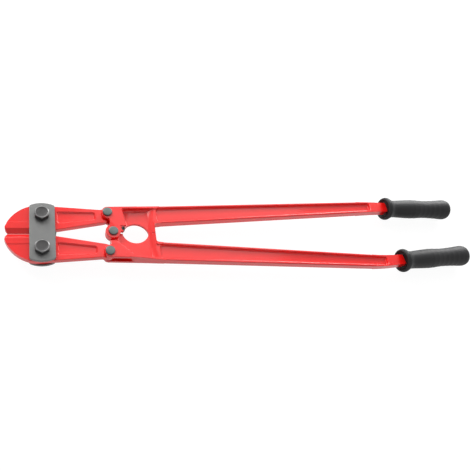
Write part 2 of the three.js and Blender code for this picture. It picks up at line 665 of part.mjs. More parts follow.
/** Long 45 degree chamfers on the shaft's four outer edges, from the head to the bend. */
function chamferCutter() {
  const cut = EDGE_CHAMFER * Math.SQRT2;
  const start = stopX + HEAD_THIN_LENGTH / 4;
  const corners = [];
  for (const edge of [shaftEdge, innerEdge]) {
    const length = BEND_START - start;
    const strip = new THREE.BoxGeometry(length, cut, cut).rotateX(Math.PI / 4).translate(length / 2, 0, 0);
    strip.rotateZ(Math.atan(edge(1) - edge(0))).translate(start, edge(start), shaftHalf);
    corners.push(solid(strip), solid(strip).mirror([0, 0, 1]));
  }
  return corners.reduce((all, next) => all.add(next));
}

/** What both handles share, in the upper place. The pad's step is a line from one point to another. */
function plainHandle(mouthY, angle, stepStart, stepEnd, slotStop) {
  const plan = slab(handleOutline(mouthY, angle), -headHalf, headHalf, HANDLE_EDGE_ROUND);
  const window = bar([windowX, -WINDOW_OFFSET], WINDOW_R, -FAR, FAR);
  const web = plan.intersect(thicknessProfile()).subtract(window);
  const hollow = windowPocket(stepStart, stepEnd);
  const recessed = pocketBothFaces(web, hollow, webHalf, headHalf, COVE, stopRamp());
  return pocketBothFaces(recessed, shaftPocket(), webHalf, shaftHalf, COVE)
    .subtract(chamferCutter())
    .add(tang(mouthY, angle, 0))
    .subtract(forkSlot(slotStop))
    .subtract(bar(linkPin, LINK_PIN_R + RUNNING_GAP, -FAR, FAR));
}

/** Where the lug behind the ear ends, at the round window. */
const lugEnd = windowX - Math.sqrt(WINDOW_R ** 2 - (LUG_HEIGHT + WINDOW_OFFSET) ** 2);
const stopScrew = [(centrePin[0] + EAR_R + lugEnd) / 2, (LUG_FLOOR + LUG_HEIGHT) / 2];

/** Upper handle: a round ear in front holds the centre pin, with a lug behind it for the stop screw. */
function upperHandle() {
  const angle = THREE.MathUtils.degToRad(UPPER_GRIP_ANGLE);
  const [x] = centrePin;
  const stepStart = [x + PAD_STEP_FOOT, LUG_HEIGHT];
  const stepEnd = [x + PAD_STEP_TOP, outerEdge(x + PAD_STEP_TOP) - FLANGE];
  return plainHandle(UPPER_MOUTH_Y, angle, stepStart, stepEnd, UPPER_SLOT_STOP)
    .add(bar(centrePin, EAR_R, 0, headHalf))
    .subtract(block([x + EAR_R, -1, -FAR], [lugEnd + 1, LUG_FLOOR, FAR]))
    .subtract(block([x + EAR_R, LUG_FLOOR - 1, headHalf - LUG_DROP], [lugEnd + 3, LUG_HEIGHT, FAR]))
    .subtract(block([x + EAR_R, LUG_FLOOR - 1, -FAR], [lugEnd + 3, LUG_HEIGHT, LUG_DROP - headHalf]))
    .subtract(bar(centrePin, shoulderR, -FAR, earInner))
    .subtract(bar(centrePin, CENTRE_PIN_R + THREAD_GAP, -FAR, FAR))
    .subtract(bar(stopScrew, STOP_SCREW_R + THREAD_GAP, -FAR, FAR));
}

/** Lower handle: a tongue behind the ear, with round hollows that clear the ear and the collar. */
function lowerHandle() {
  const angle = THREE.MathUtils.degToRad(LOWER_GRIP_ANGLE);
  const [x] = centrePin;
  const stepStart = [x + DIAGONAL_START[0], DIAGONAL_START[1]];
  const stepEnd = [x + DIAGONAL_END[0], DIAGONAL_END[1]];
  const body = plainHandle(LOWER_MOUTH_Y, angle, stepStart, stepEnd, LOWER_SLOT_STOP)
    .subtract(bar(centrePin, shoulderR, tongueFront, FAR))
    .subtract(bar(centrePin, shoulderR, -FAR, tongueBack))
    .add(bar(centrePin, TONGUE_R, tongueBack, tongueFront))
    .subtract(bar(centrePin, CENTRE_PIN_R + OPEN_PIVOT_PLAY + RUNNING_GAP, -FAR, FAR));
  return mirrored(body);
}

// ---- Pins, collars and the stop screw ----

/** Pin with a low domed head on the front face, its back end riveted over a collar. */
function pin(at, radius, seat) {
  const top = headHalf + PIN_HEAD_HEIGHT;
  const back = seat - COLLAR_THICKNESS;
  return turned([
    [0, back - RIVET_HEIGHT], [radius, back - RIVET_HEIGHT], [radius + RIVET_LIP, back - RIVET_HEIGHT / 3],
    [radius + RIVET_LIP, back], [radius, back], [radius, headHalf], [PIN_HEAD_R, headHalf],
    [PIN_HEAD_R, top - 1.3], [PIN_HEAD_R - 0.5, top - 0.5], [PIN_HEAD_R - 1.6, top], [0, top],
  ], at);
}

/** Flat ring under a pin's riveted end. */
function collar(at, radius, outerR, seat) {
  const back = seat - COLLAR_THICKNESS;
  return turned([[0, back], [outerR - 0.5, back], [outerR, back + 0.5], [outerR, seat], [0, seat]], at)
    .subtract(bar(at, radius + THREAD_GAP, -FAR, FAR));
}

/** Headless socket screw through the lug: the lower handle's horn closes under it. */
function stopScrewBody() {
  const face = headHalf - LUG_DROP;
  const top = face + STOP_SCREW_PROUD;
  const socket = slab(hexagon(STOP_SCREW_SOCKET), top - STOP_SCREW_SOCKET_DEPTH, FAR)
    .translate([...stopScrew, 0]);
  return turned([
    [0, -face], [STOP_SCREW_R - 0.4, -face], [STOP_SCREW_R, 0.4 - face], [STOP_SCREW_R, top - 0.4],
    [STOP_SCREW_R - 0.4, top], [0, top],
  ], stopScrew).subtract(socket);
}

// ---- Grips ----

/** Moulded grip: flared ring, waist and swelling, with a hollow mouth round the tang. */
function grip(mouthY, angle) {
  const length = GRIP_PROFILE.at(-1)[0] + GRIP_END_RISE;
  const front = GRIP_PROFILE[0][0];
  const profile = [
    [0, GRIP_MOUTH_DEPTH], [GRIP_MOUTH_FLOOR_R, GRIP_MOUTH_DEPTH], [GRIP_MOUTH_R, front],
    ...gripOutside, [0, length],
  ];
  const bore = tang(0, 0, TANG_GAP).translate([-mouthX, 0, 0]);
  const points = profile.map(([r, s]) => new THREE.Vector2(r, s));
  const geometry = new THREE.LatheGeometry(points, 24).rotateZ(-Math.PI / 2);
  return solid(geometry)
    .subtract(bore)
    .rotate([0, 0, THREE.MathUtils.radToDeg(angle)])
    .translate([mouthX, mouthY, 0]);
}

// ---- The tool ----

const lowerGripAngle = THREE.MathUtils.degToRad(LOWER_GRIP_ANGLE);
const tool = new THREE.Group();
tool.add(
  named('upper_jaw', upperJaw(), paint),
  named('lower_jaw', lowerJaw(), paint),
  named('front_plate', frontPlate(), plateSteel),
  named('back_plate', frontPlate().mirror([0, 0, 1]), plateSteel),
  named('plate_spacer', plateSpacer(), boltSteel),
  named('upper_plate_bolt', plateBolt(jawPivot), boltSteel),
  named('lower_plate_bolt', plateBolt(lower(jawPivot)), boltSteel),
  named('upper_plate_nut', plateNut(jawPivot), boltSteel),
  named('lower_plate_nut', plateNut(lower(jawPivot)), boltSteel),
  named('upper_handle', upperHandle(), paint),
  named('lower_handle', lowerHandle(), paint),
  named('stop_screw', stopScrewBody(), boltSteel),
  named('upper_grip', grip(UPPER_MOUTH_Y, THREE.MathUtils.degToRad(UPPER_GRIP_ANGLE)), rubber),
  named('lower_grip', mirrored(grip(LOWER_MOUTH_Y, lowerGripAngle)), rubber),
);
for (const [place, at, radius, collarR, seat] of [
  ['upper_link', linkPin, LINK_PIN_R, LINK_COLLAR_R, -headHalf],
  ['lower_link', lower(linkPin), LINK_PIN_R, LINK_COLLAR_R, -headHalf],
  ['centre', centrePin, CENTRE_PIN_R, CENTRE_COLLAR_R, tongueBack - RUNNING_GAP],
]) {
  tool.add(
    named(`${place}_pin`, pin(at, radius, seat), pinSteel),
    named(`${place}_collar`, collar(at, radius, collarR, seat), pinSteel),
  );
}

// Stand the tool on the bench, with the origin under the middle of its length and width.
const box = new THREE.Box3().setFromObject(tool);
const middle = box.getCenter(new THREE.Vector3());
tool.position.set(-middle.x, -middle.y, -box.min.z);

const boltCutters = new THREE.Group();
boltCutters.add(tool);

export default boltCutters;
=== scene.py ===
"""Looks for a pair of long-handled bolt cutters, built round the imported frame.

Each sub-assembly is a class that knows its own sizes in millimetres, in the tool's own frame: X from
the jaw tips to the grips, Y = 0 on the line where the jaws close, Z = 0 in the middle plane. Its
methods work out surfaces as whole arrays, put them into meshes in the row's frame and dress them.
"""

import logging
import math
from dataclasses import dataclass
from enum import Enum
from functools import cache
from typing import Sequence

import bmesh
import bpy
import numpy as np
from mathutils import Matrix, Vector

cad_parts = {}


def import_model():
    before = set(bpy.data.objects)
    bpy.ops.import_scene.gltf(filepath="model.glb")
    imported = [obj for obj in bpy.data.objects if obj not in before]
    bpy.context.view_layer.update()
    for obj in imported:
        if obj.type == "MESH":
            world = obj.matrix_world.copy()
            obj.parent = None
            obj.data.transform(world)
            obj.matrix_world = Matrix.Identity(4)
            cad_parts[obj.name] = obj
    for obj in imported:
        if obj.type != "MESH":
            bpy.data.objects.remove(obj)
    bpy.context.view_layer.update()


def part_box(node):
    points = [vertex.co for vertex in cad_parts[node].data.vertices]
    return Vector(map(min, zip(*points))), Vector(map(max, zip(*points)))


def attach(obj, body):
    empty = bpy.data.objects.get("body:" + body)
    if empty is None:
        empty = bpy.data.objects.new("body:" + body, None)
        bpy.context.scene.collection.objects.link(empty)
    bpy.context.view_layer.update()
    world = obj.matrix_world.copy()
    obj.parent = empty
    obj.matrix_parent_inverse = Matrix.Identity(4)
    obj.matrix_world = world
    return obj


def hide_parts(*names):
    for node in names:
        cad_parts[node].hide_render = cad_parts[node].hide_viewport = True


log = logging.getLogger("bolt_cutters")

Look, Piece, Edit = bpy.types.Material, bpy.types.Object, bmesh.types.BMesh
Tree, Node, Socket = bpy.types.NodeTree, bpy.types.Node, bpy.types.NodeSocket
Pair = tuple[float, float]
Triple = tuple[float, float, float]
Window = tuple[float, float, float, float]
Feed = Socket | float | tuple[float, ...]
Feeds = dict[str | int, Feed]
Array = np.ndarray
Size = float | Array

MM = 0.001  # metres in a millimetre
WELD = 0.002 * MM  # points of a new surface that are closer than this become one
NODE_WELD = 0.003 * MM  # the same for the loose triangles of a node
CUT_SLACK = 0.001 * MM  # points closer than this to a cutting plane lie on it
TOUCH = 0.01  # a point this close to a face, in millimetres, counts as lying on it
FLAT_DEG = 0.6  # faces that turn less than this belong to one flat
CHAMFER = math.tan(math.radians(30.0))  # fall of the chamfers on heads and nuts


class Half(Enum):
    """Which half of the tool a piece belongs to, with the sign of its Y."""

    UPPER = 1.0
    LOWER = -1.0

    @property
    def word(self) -> str:
        """The half's name as the frame's nodes spell it."""
        return self.name.lower()


# ---- Places and meshes ----


@dataclass(frozen=True)
class ToolPlace:
    """Where the tool's own frame sits in the row's frame.

    Attributes:
        shift: row place of the tool frame's origin, in millimetres.
    """

    shift: Array

    @classmethod
    def from_frame(cls, bolt_x: float, bolt_y: float) -> "ToolPlace":
        """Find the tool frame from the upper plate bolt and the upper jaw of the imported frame.

        Args:
            bolt_x: tool X of the bolt, in millimetres.
            bolt_y: tool Y of the bolt, in millimetres.

        Returns:
            The place, with Z from the middle of the jaw's thickness.
        """
        low, high = (np.array(corner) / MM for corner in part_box("upper_plate_bolt"))
        middle = (low + high) / 2
        jaw_low, jaw_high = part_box("upper_jaw")
        mid_z = (jaw_low.z + jaw_high.z) / 2 / MM
        return cls(np.array([middle[0] - bolt_x, middle[1] - bolt_y, mid_z]))

    def row(self, points: Array | Triple) -> Array:
        """Tool points in millimetres as row points in metres."""
        return (np.asarray(points, float) + self.shift) * MM

    def tool(self, verts: Sequence[bmesh.types.BMVert]) -> Array:
        """Vertices of a mesh in the row's frame as tool points, one row each."""
        return np.array([vert.co for vert in verts]) / MM - self.shift


def put(name: str, data: bpy.types.ID) -> Piece:
    """Put a new object into the scene.

    Args:
        name: the object's name.
        data: its mesh, lamp or camera.

    Returns:
        The object, at the row's origin.
    """
    made = bpy.data.objects.new(name, data)
    bpy.context.scene.collection.objects.link(made)
    return made


def shade(mesh: bpy.types.Mesh, sharp_deg: float) -> None:
    """Shade a mesh smooth, with its edges sharp where the surface turns by more than an angle."""
    mesh.polygons.foreach_set("use_smooth", np.ones(len(mesh.polygons), bool))
    mesh.set_sharp_from_angle(angle=math.radians(sharp_deg))


@dataclass
class Skin:
    """A closed surface as rings of points, in millimetres in the tool frame.

    Attributes:
        rings: array of shape (rings, points, 3); each ring closes on itself.
        torus: True where the last ring joins the first, False where both ends are closed by a pole.
        wear_and_highlight: how far each ring takes the lighter tint of rubbed-off metal and painted
            highlight, 0 to 1, or nothing where the finish is whole.
        sharp_deg: edges that turn more than this stay sharp, in degrees.
    """

    rings: Array
    torus: bool = False
    wear_and_highlight: Array | None = None
    sharp_deg: float = 30.0

    def faces(self) -> list[tuple[int, ...]]:
        """Quads between neighbouring rings, and fans of triangles to the poles.

        Returns:
            Each face as numbers of points().
        """
        count, around = self.rings.shape[:2]
        ring = np.arange(count if self.torus else count - 1)
        step = np.arange(around)
        here, there = ring[:, None] * around, ((ring[:, None] + 1) % count) * around
        after = (step + 1) % around
        quads = np.stack([here + step, here + after, there + after, there + step], -1)
        made = [tuple(q) for q in quads.reshape(-1, 4).tolist()]
        if not self.torus:
            first, last, end = count * around, count * around + 1, (count - 1) * around
            made += [(first, int(b), int(a)) for a, b in zip(step, after)]
            made += [(last, int(end + a), int(end + b)) for a, b in zip(step, after)]
        return made

    def points(self) -> Array:
        """All points: the rings in order, then the two poles at the end rings' centroids.

        Returns:
            Array (points, 3).
        """
        flat = self.rings.reshape(-1, 3)
        if self.torus:
            return flat
        return np.vstack([flat, self.rings[0].mean(0), self.rings[-1].mean(0)])

    def piece(self, name: str, place: ToolPlace) -> Piece:
        """Make the surface a mesh object.

        Args:
            name: the piece's name.
            place: the tool's place.

        Returns:
            The new object, at the row's origin, smooth-shaded with sharp edges, faces out.
        """
        mesh = bpy.data.meshes.new(name)
        mesh.from_pydata(place.row(self.points()).tolist(), [], self.faces())
        # Share of the lighter tint on each ring: rubbed-off metal and a painted highlight.
        if self.wear_and_highlight is not None:
            worn_and_highlight = np.zeros(len(mesh.vertices))
            worn_and_highlight[: self.rings[..., 0].size] = np.repeat(self.wear_and_highlight, self.rings.shape[1])
            mesh.attributes.new("wear_and_highlight", "FLOAT", "POINT").data.foreach_set("value", worn_and_highlight)
        edit = bmesh.new()
        edit.from_mesh(mesh)
        bmesh.ops.remove_doubles(edit, verts=edit.verts, dist=WELD)
        bmesh.ops.recalc_face_normals(edit, faces=edit.faces)
        edit.to_mesh(mesh)
        edit.free()
        shade(mesh, self.sharp_deg)
        return put(name, mesh)


def settle(piece: Piece, body: str, nodes: Sequence[str], look: Look) -> None:
    """Give a finished piece its body and its material, and hide the nodes it stands for.

    Args:
        piece: the piece, with its place in its mesh.
        body: the body it rides on.
        nodes: the frame's nodes it stands for.
        look: the material.
    """
    piece.data.materials.clear()
    piece.data.materials.append(look)
    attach(piece, body)
    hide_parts(*nodes)
    log.info("%s: %d faces on %s", piece.name, len(piece.data.polygons), body)


# ---- Shared effects ----


def feed(tree: Tree, node: Node, feeds: Feeds) -> None:
    """Feed a node's inputs, each from a socket or with a plain value.

    Args:
        tree: the node tree.
        node: the node.
        feeds: input name or number to what feeds it.
    """
    for label, value in feeds.items():
        if isinstance(value, Socket):
            tree.links.new(value, node.inputs[label])
        else:
            node.inputs[label].default_value = value


def new_node(tree: Tree, kind: str, feeds: Feeds | None = None, **settings: str | Tree) -> Node:
    """Add a node with its settings made and its inputs fed.

    Args:
        tree: the node tree.
        kind: the node's type, without its "ShaderNode".
        feeds: input name or number to what feeds it.
        settings: the node's own settings by name.

    Returns:
        The node.
    """
    made = tree.nodes.new(f"ShaderNode{kind}")
    for label, value in settings.items():
        setattr(made, label, value)
    feed(tree, made, feeds or {})
    return made


def math_node(tree: Tree, operation: str, a: Feed, b: Feed) -> Socket:
    """The result of a Math node on two sockets or plain numbers."""
    return new_node(tree, "Math", {0: a, 1: b}, operation=operation).outputs[0]


def noise(tree: Tree, vector: Feed, scale: Feed, detail: float, rough: float = 0.5) -> Socket:
    """The value of a noise texture read at a vector."""
    feeds = {"Vector": vector, "Scale": scale, "Detail": detail, "Roughness": rough}
    return new_node(tree, "TexNoise", feeds).outputs["Fac"]


def new_group(
    name: str, inputs: Sequence[str], outputs: Sequence[str]
) -> tuple[Tree, bpy.types.NodeOutputs, bpy.types.NodeInputs]:
    """Start a shader node group that reads a Vector and numbers, and puts out numbers.

    Args:
        name: the group's name.
        inputs: names of the numbers it reads.
        outputs: names of the numbers it puts out.

    Returns:
        The node tree, the sockets it reads from and the sockets that take its results.
    """
    tree = bpy.data.node_groups.new(name, "ShaderNodeTree")
    tree.interface.new_socket("Vector", in_out="INPUT", socket_type="NodeSocketVector")
    for way, labels in (("INPUT", inputs), ("OUTPUT", outputs)):
        for label in labels:
            tree.interface.new_socket(label, in_out=way, socket_type="NodeSocketFloat")
    come, go = tree.nodes.new("NodeGroupInput"), tree.nodes.new("NodeGroupOutput")
    return tree, come.outputs, go.inputs


@cache
def mottle_group() -> Tree:
    """Slow cloudy variation: value = base + spread * (cloud - 1/2), for roughness and for tint.

    Returns:
        The group.
    """
    tree, come, go = new_group("mottle", ("Scale", "Base", "Spread"), ("Value", "Cloud"))
    cloud = noise(tree, come["Vector"], come["Scale"], detail=4.0, rough=0.55)
    swing = math_node(tree, "MULTIPLY", math_node(tree, "SUBTRACT", cloud, 0.5), come["Spread"])
    tree.links.new(math_node(tree, "ADD", swing, come["Base"]), go["Value"])
    tree.links.new(cloud, go["Cloud"])
    return tree


@cache
def grain_group() -> Tree:
    """Relief in two sizes: height = coarse + fine * share, for cast skin, enamel and rubber.

    Returns:
        The group.
    """
    tree, come, go = new_group("grain", ("Coarse", "Fine", "Share"), ("Height",))
    coarse = noise(tree, come["Vector"], come["Coarse"], detail=2.0)
    fine = noise(tree, come["Vector"], come["Fine"], detail=1.0)
    part = math_node(tree, "MULTIPLY", fine, come["Share"])
    tree.links.new(math_node(tree, "ADD", coarse, part), go["Height"])
    return tree


def effect(tree: Tree, group: Tree, feeds: Feeds) -> bpy.types.NodeOutputs:
    """Place a shared effect in a material with its own values, and give its outputs."""
    return new_node(tree, "Group", feeds, node_tree=group).outputs


# ---- Finishes ----


@dataclass(frozen=True)
class Finish:
    """A surface finish: two tints that drift into each other, roughness, relief and gloss coat.

    Attributes:
        name: the material's name.
        light: the tint on the lighter patches, linear.
        dark: the tint on the darker patches, linear.
        metallic: 0 for paint and rubber, towards 1 for metal.
        roughness: middle roughness.
        rough_spread: how far roughness drifts.
        patch_scale: size of the drift, in patches per metre.
        coarse: coarse relief, in grains per metre.
        fine: fine relief, in grains per metre.
        relief: depth of the relief, in metres.
        fine_share: share of the fine relief.
        specular: strength of the mirror reflection.
        coat: strength of the clear coat.
        coat_roughness: roughness of the clear coat.
        worn_and_highlight: the lighter tint of rubbed-off metal that also paints a highlight, laid on
            by the mesh's wear_and_highlight attribute.
        worn_and_highlight_roughness: roughness there.
    """

    name: str
    light: Triple
    dark: Triple
    metallic: float
    roughness: float
    rough_spread: float
    patch_scale: float
    coarse: float
    fine: float
    relief: float
    fine_share: float = 0.3
    specular: float = 0.5
    coat: float = 0.0
    coat_roughness: float = 0.1
    worn_and_highlight: Triple | None = None
    worn_and_highlight_roughness: float = 0.3

    def material(self) -> Look:
        """Build the material: effects feed colour, roughness and normal of one Principled shader.

        Returns:
            The material, which reads Object coordinates.
        """
        made = bpy.data.materials.new(self.name)
        made.use_nodes = True
        tree = made.node_tree
        spot = new_node(tree, "TexCoord").outputs["Object"]
        drift = {"Scale": self.patch_scale, "Base": self.roughness, "Spread": self.rough_spread}
        mottle = effect(tree, mottle_group(), {"Vector": spot, **drift})
        ends = {"A": (*self.dark, 1), "B": (*self.light, 1)}
        tint = new_node(tree, "Mix", {"Factor": mottle["Cloud"], **ends}, data_type="RGBA")
        rough, colour = self.rub(tree, mottle["Value"], tint.outputs["Result"])
        grains = {"Coarse": self.coarse, "Fine": self.fine, "Share": self.fine_share}
        height = effect(tree, grain_group(), {"Vector": spot, **grains})["Height"]
        bump = new_node(tree, "Bump", {"Height": height, "Strength": 1.0, "Distance": self.relief})
        shader = next(n for n in tree.nodes if n.bl_idname == "ShaderNodeBsdfPrincipled")
        gloss = {"Metallic": self.metallic, "Specular IOR Level": self.specular}
        coat = {"Coat Weight": self.coat, "Coat Roughness": self.coat_roughness}
        varied = {"Base Color": colour, "Roughness": rough, "Normal": bump.outputs["Normal"]}
        feed(tree, shader, {**gloss, **coat, **varied})
        return made

    def rub(self, tree: Tree, rough: Socket, colour: Socket) -> tuple[Socket, Socket]:
        """Rub the finish off and paint a highlight where the mesh is marked for the lighter tint.

        Args:
            tree: the material's node tree.
            rough: roughness of the whole finish.
            colour: tint of the whole finish.

        Returns:
            Roughness and tint, each mixed towards the lighter tint of rubbed metal and painted
            highlight by the mesh's marks.
        """
        if self.worn_and_highlight is None:
            return rough, colour
        # Mix in the lighter tint: rubbed-off metal and a painted highlight.
        wear_and_highlight = new_node(tree, "Attribute", attribute_name="wear_and_highlight").outputs["Fac"]
        smooth = new_node(tree, "Mix", {"Factor": wear_and_highlight, "A": rough, "B": self.worn_and_highlight_roughness})
        ends = {"A": colour, "B": (*self.worn_and_highlight, 1)}
        rubbed_and_highlit = new_node(tree, "Mix", {"Factor": wear_and_highlight, **ends}, data_type="RGBA")
        return smooth.outputs["Result"], rubbed_and_highlit.outputs["Result"]


RED_ENAMEL = Finish(
    "red_enamel", light=(0.87, 0.006, 0.004), dark=(0.80, 0.004, 0.003), metallic=0.0,
    roughness=0.32, rough_spread=0.08, patch_scale=45.0, coarse=420.0, fine=1800.0,
    relief=0.00003, specular=0.35, coat=0.35,
)
PLATE_GREY = Finish(
    "plate_grey", light=(0.16, 0.16, 0.155), dark=(0.115, 0.118, 0.118), metallic=0.6,
    roughness=0.42, rough_spread=0.14, patch_scale=70.0, coarse=900.0, fine=4000.0,
    relief=0.00003,
)
# The lighter rim tint below stands for rubbed-off metal and also paints a highlight on the bolt heads.
BLACKENED = Finish(
    "blackened_steel", light=(0.055, 0.053, 0.052), dark=(0.03, 0.03, 0.031), metallic=0.6,
    roughness=0.4, rough_spread=0.2, patch_scale=220.0, coarse=900.0, fine=3500.0,
    relief=0.00005, worn_and_highlight=(0.36, 0.36, 0.36),
)
PIN_ZINC = Finish(
    "pin_zinc", light=(0.11, 0.135, 0.127), dark=(0.075, 0.09, 0.087), metallic=0.6,
    roughness=0.42, rough_spread=0.15, patch_scale=260.0, coarse=1100.0, fine=4000.0,
    relief=0.00004,
)
GRIP_RUBBER = Finish(
    "grip_rubber", light=(0.016, 0.016, 0.017), dark=(0.008, 0.008, 0.009), metallic=0.0,
    roughness=0.55, rough_spread=0.14, patch_scale=90.0, coarse=1600.0, fine=5200.0,
    relief=0.00005, fine_share=0.6, specular=0.25,
)


# ---- Turned pieces ----


@dataclass
class Fastener:
    """An axis along Z, and the surfaces that bolts, nuts, pins and collars have round it.

    Attributes:
        x: tool X of the axis.
        y: tool Y of the axis.
        around: points round the axis.
    """

    x: float
    y: float
    around: int = 96

    def angles(self) -> Array:
        """Angles of the points round the axis."""
        return np.linspace(0, 2 * np.pi, self.around, endpoint=False)

    def rings(self, radius: Array, height: Array) -> Array:
        """Rings about the axis: point = axis + radius * (cos a, sin a) at its height.

        Args:
            radius: array (rings, around) or (rings, 1).
            height: the same.

        Returns:
            Array (rings, around, 3).
        """
        radius, height, a = np.broadcast_arrays(radius, height, self.angles())
        return np.stack([self.x + radius * np.cos(a), self.y + radius * np.sin(a), height], -1)

    def turned(self, profile: Sequence[tuple[Size, Size]]) -> Array:
        """Rings of a turned shape.

        Args:
            profile: radius and height of each ring, each one number or one value per angle.

        Returns:
            Array (rings, around, 3).
        """
        radius, height = (
            np.stack([np.broadcast_to(step[part], self.around) for step in profile]) for part in (0, 1)
        )
        return self.rings(radius, height)


@dataclass
class PlateBolt(Fastener):
    """Hexagon bolt through the side plates, with its nut.

    Attributes:
        flats: width across flats of head and nut.
        soften: how far their corners are pulled in.
        blend: width of the smooth minimum that rounds the corners.
        seat: height of the head's underside.
        head_top: height of the head's rim.
        head_face: radius of the head's face, as a share of flats.
        head_wear_and_highlight: how far each ring of the head takes the lighter tint of rubbed metal
            and painted highlight, from its seat to the middle of its face.
        ease: softening of the head's edges.
        shank_r: radius of the shank.
        end: height of the shank's end.
        point: length of the thread's plain start at that end.
        pitch: rise of the thread per turn.
        thread_depth: depth of the thread.
        nut_top: height of the nut's face on the plate.
        nut_low: height of its outer face.
        nut_face: radius of both its faces, as a share of flats.
        sink: width of the chamfer round its bore.
    """

    flats: float = 17.0
    soften: float = 0.35
    blend: float = 0.25
    seat: float = 8.8
    head_top: float = 16.3
    head_face: float = 0.475
    # The rings at the chamfer's top and the face's rim get the lighter tint: rubbed metal and a painted
    # highlight.
    head_wear_and_highlight: tuple[float, ...] = (0, 0, 0, 0.2, 0.5, 0.3, 0, 0)
    ease: float = 0.25
    shank_r: float = 5.0
    end: float = -19.4
    point: float = 1.2
    pitch: float = 1.5
    thread_depth: float = 0.6
    nut_top: float = -8.8
    nut_low: float = -16.8
    nut_face: float = 0.455
    sink: float = 0.7

    def hexagon(self) -> Array:
        """Radius of the hexagon with softened corners, which point up and down Y.

        The flat is at radius flats/2 / cos(a - middle of the side); near a corner the radius is
        held back by a smooth minimum with the rounded corner's radius.

        Returns:
            One radius per angle.
        """
        third, blend = np.pi / 3, self.blend
        off = (self.angles() + third / 2) % third - third / 2
        sharp = self.flats / 2 / np.cos(off)
        corner = self.flats / np.sqrt(3) - self.soften
        return -blend * np.log(np.exp(-sharp / blend) + np.exp(-corner / blend))

    def head(self) -> Array:
        """Rings of the head: side, 30 degree chamfer, rim and a slightly dished face.

        Returns:
            Array (rings, around, 3), one ring for each value of head_wear_and_highlight.
        """
        side, face, top = self.hexagon(), self.head_face * self.flats, self.head_top
        chamfer = top - self.ease - (side - face) * CHAMFER
        return self.turned([
            (side - self.ease, self.seat), (side, self.seat + self.ease), (side, chamfer - self.ease),
            (side - 0.12, chamfer + 0.02), (face, top - self.ease), (face - 0.35, top),
            (face - 1.2, top - self.ease), (0.4 * face, top - 0.35),
        ])

    def thread(self) -> Array:
        """Rings of the thread: radius falls by depth * (1 - |triangle wave of (height - turns)|).

        It fades out over one pitch at both ends, and has eight rings per turn.

        Returns:
            Array (rings, around, 3).
        """
        low, high = self.end + self.point, self.nut_top - 1.0
        z = np.linspace(low, high, int((high - low) / self.pitch * 8) + 1)[:, None]
        phase = z / self.pitch - self.angles() / (2 * np.pi)
        wave = np.abs(2 * (phase - np.floor(phase + 0.5)))
        fade = np.clip(np.minimum(z - low, high - z) / self.pitch, 0, 1)
        return self.rings(self.shank_r - self.thread_depth * (1 - wave) * fade, z)

    def bolt(self) -> Skin:
        """The bolt: a chamfered end, the thread, the plain shank and the head.

        Returns:
            The surface, worn on its head.
        """
        shank_r = self.shank_r
        tip = self.turned([(shank_r - 1.3, self.end), (shank_r - 0.75, self.end + 0.55)])
        plain = self.turned([(shank_r, self.nut_top), (shank_r, self.seat - 0.05)])
        shank = np.concatenate([tip, self.thread(), plain])
        wear_and_highlight = np.concatenate([np.zeros(len(shank)), self.head_wear_and_highlight])
        return Skin(np.concatenate([shank, self.head()]), wear_and_highlight=wear_and_highlight)

    def nut(self) -> Skin:
        """The nut, a closed tube: out over a face, up the side between two chamfers, down the bore.

        Returns:
            The surface.
        """
        bore, low, high = self.shank_r + 0.25, self.nut_low, self.nut_top
        side, face, rim = self.hexagon(), self.nut_face * self.flats, bore + self.sink
        drop = (side - face) * CHAMFER
        rings = self.turned([
            (bore, low + self.sink), (rim, low), (face, low), (side, low + drop),
            (side, high - drop), (face, high), (rim, high), (bore, high - self.sink),
        ])
        return Skin(rings, torus=True)

    def build(self, half: Half, place: ToolPlace, look: Look) -> None:
        """Make the bolt and its nut and settle both on the plates.

        Args:
            half: which half of the tool they hold.
            place: the tool's place.
            look: the finish.
        """
        word = half.word
        for title, node, skin in (("bolt", "bolt", self.bolt()), ("bolt_nut", "nut", self.nut())):
            piece = skin.piece(f"{word}_{title}", place)
            settle(piece, "plates", [f"{word}_plate_{node}"], look)


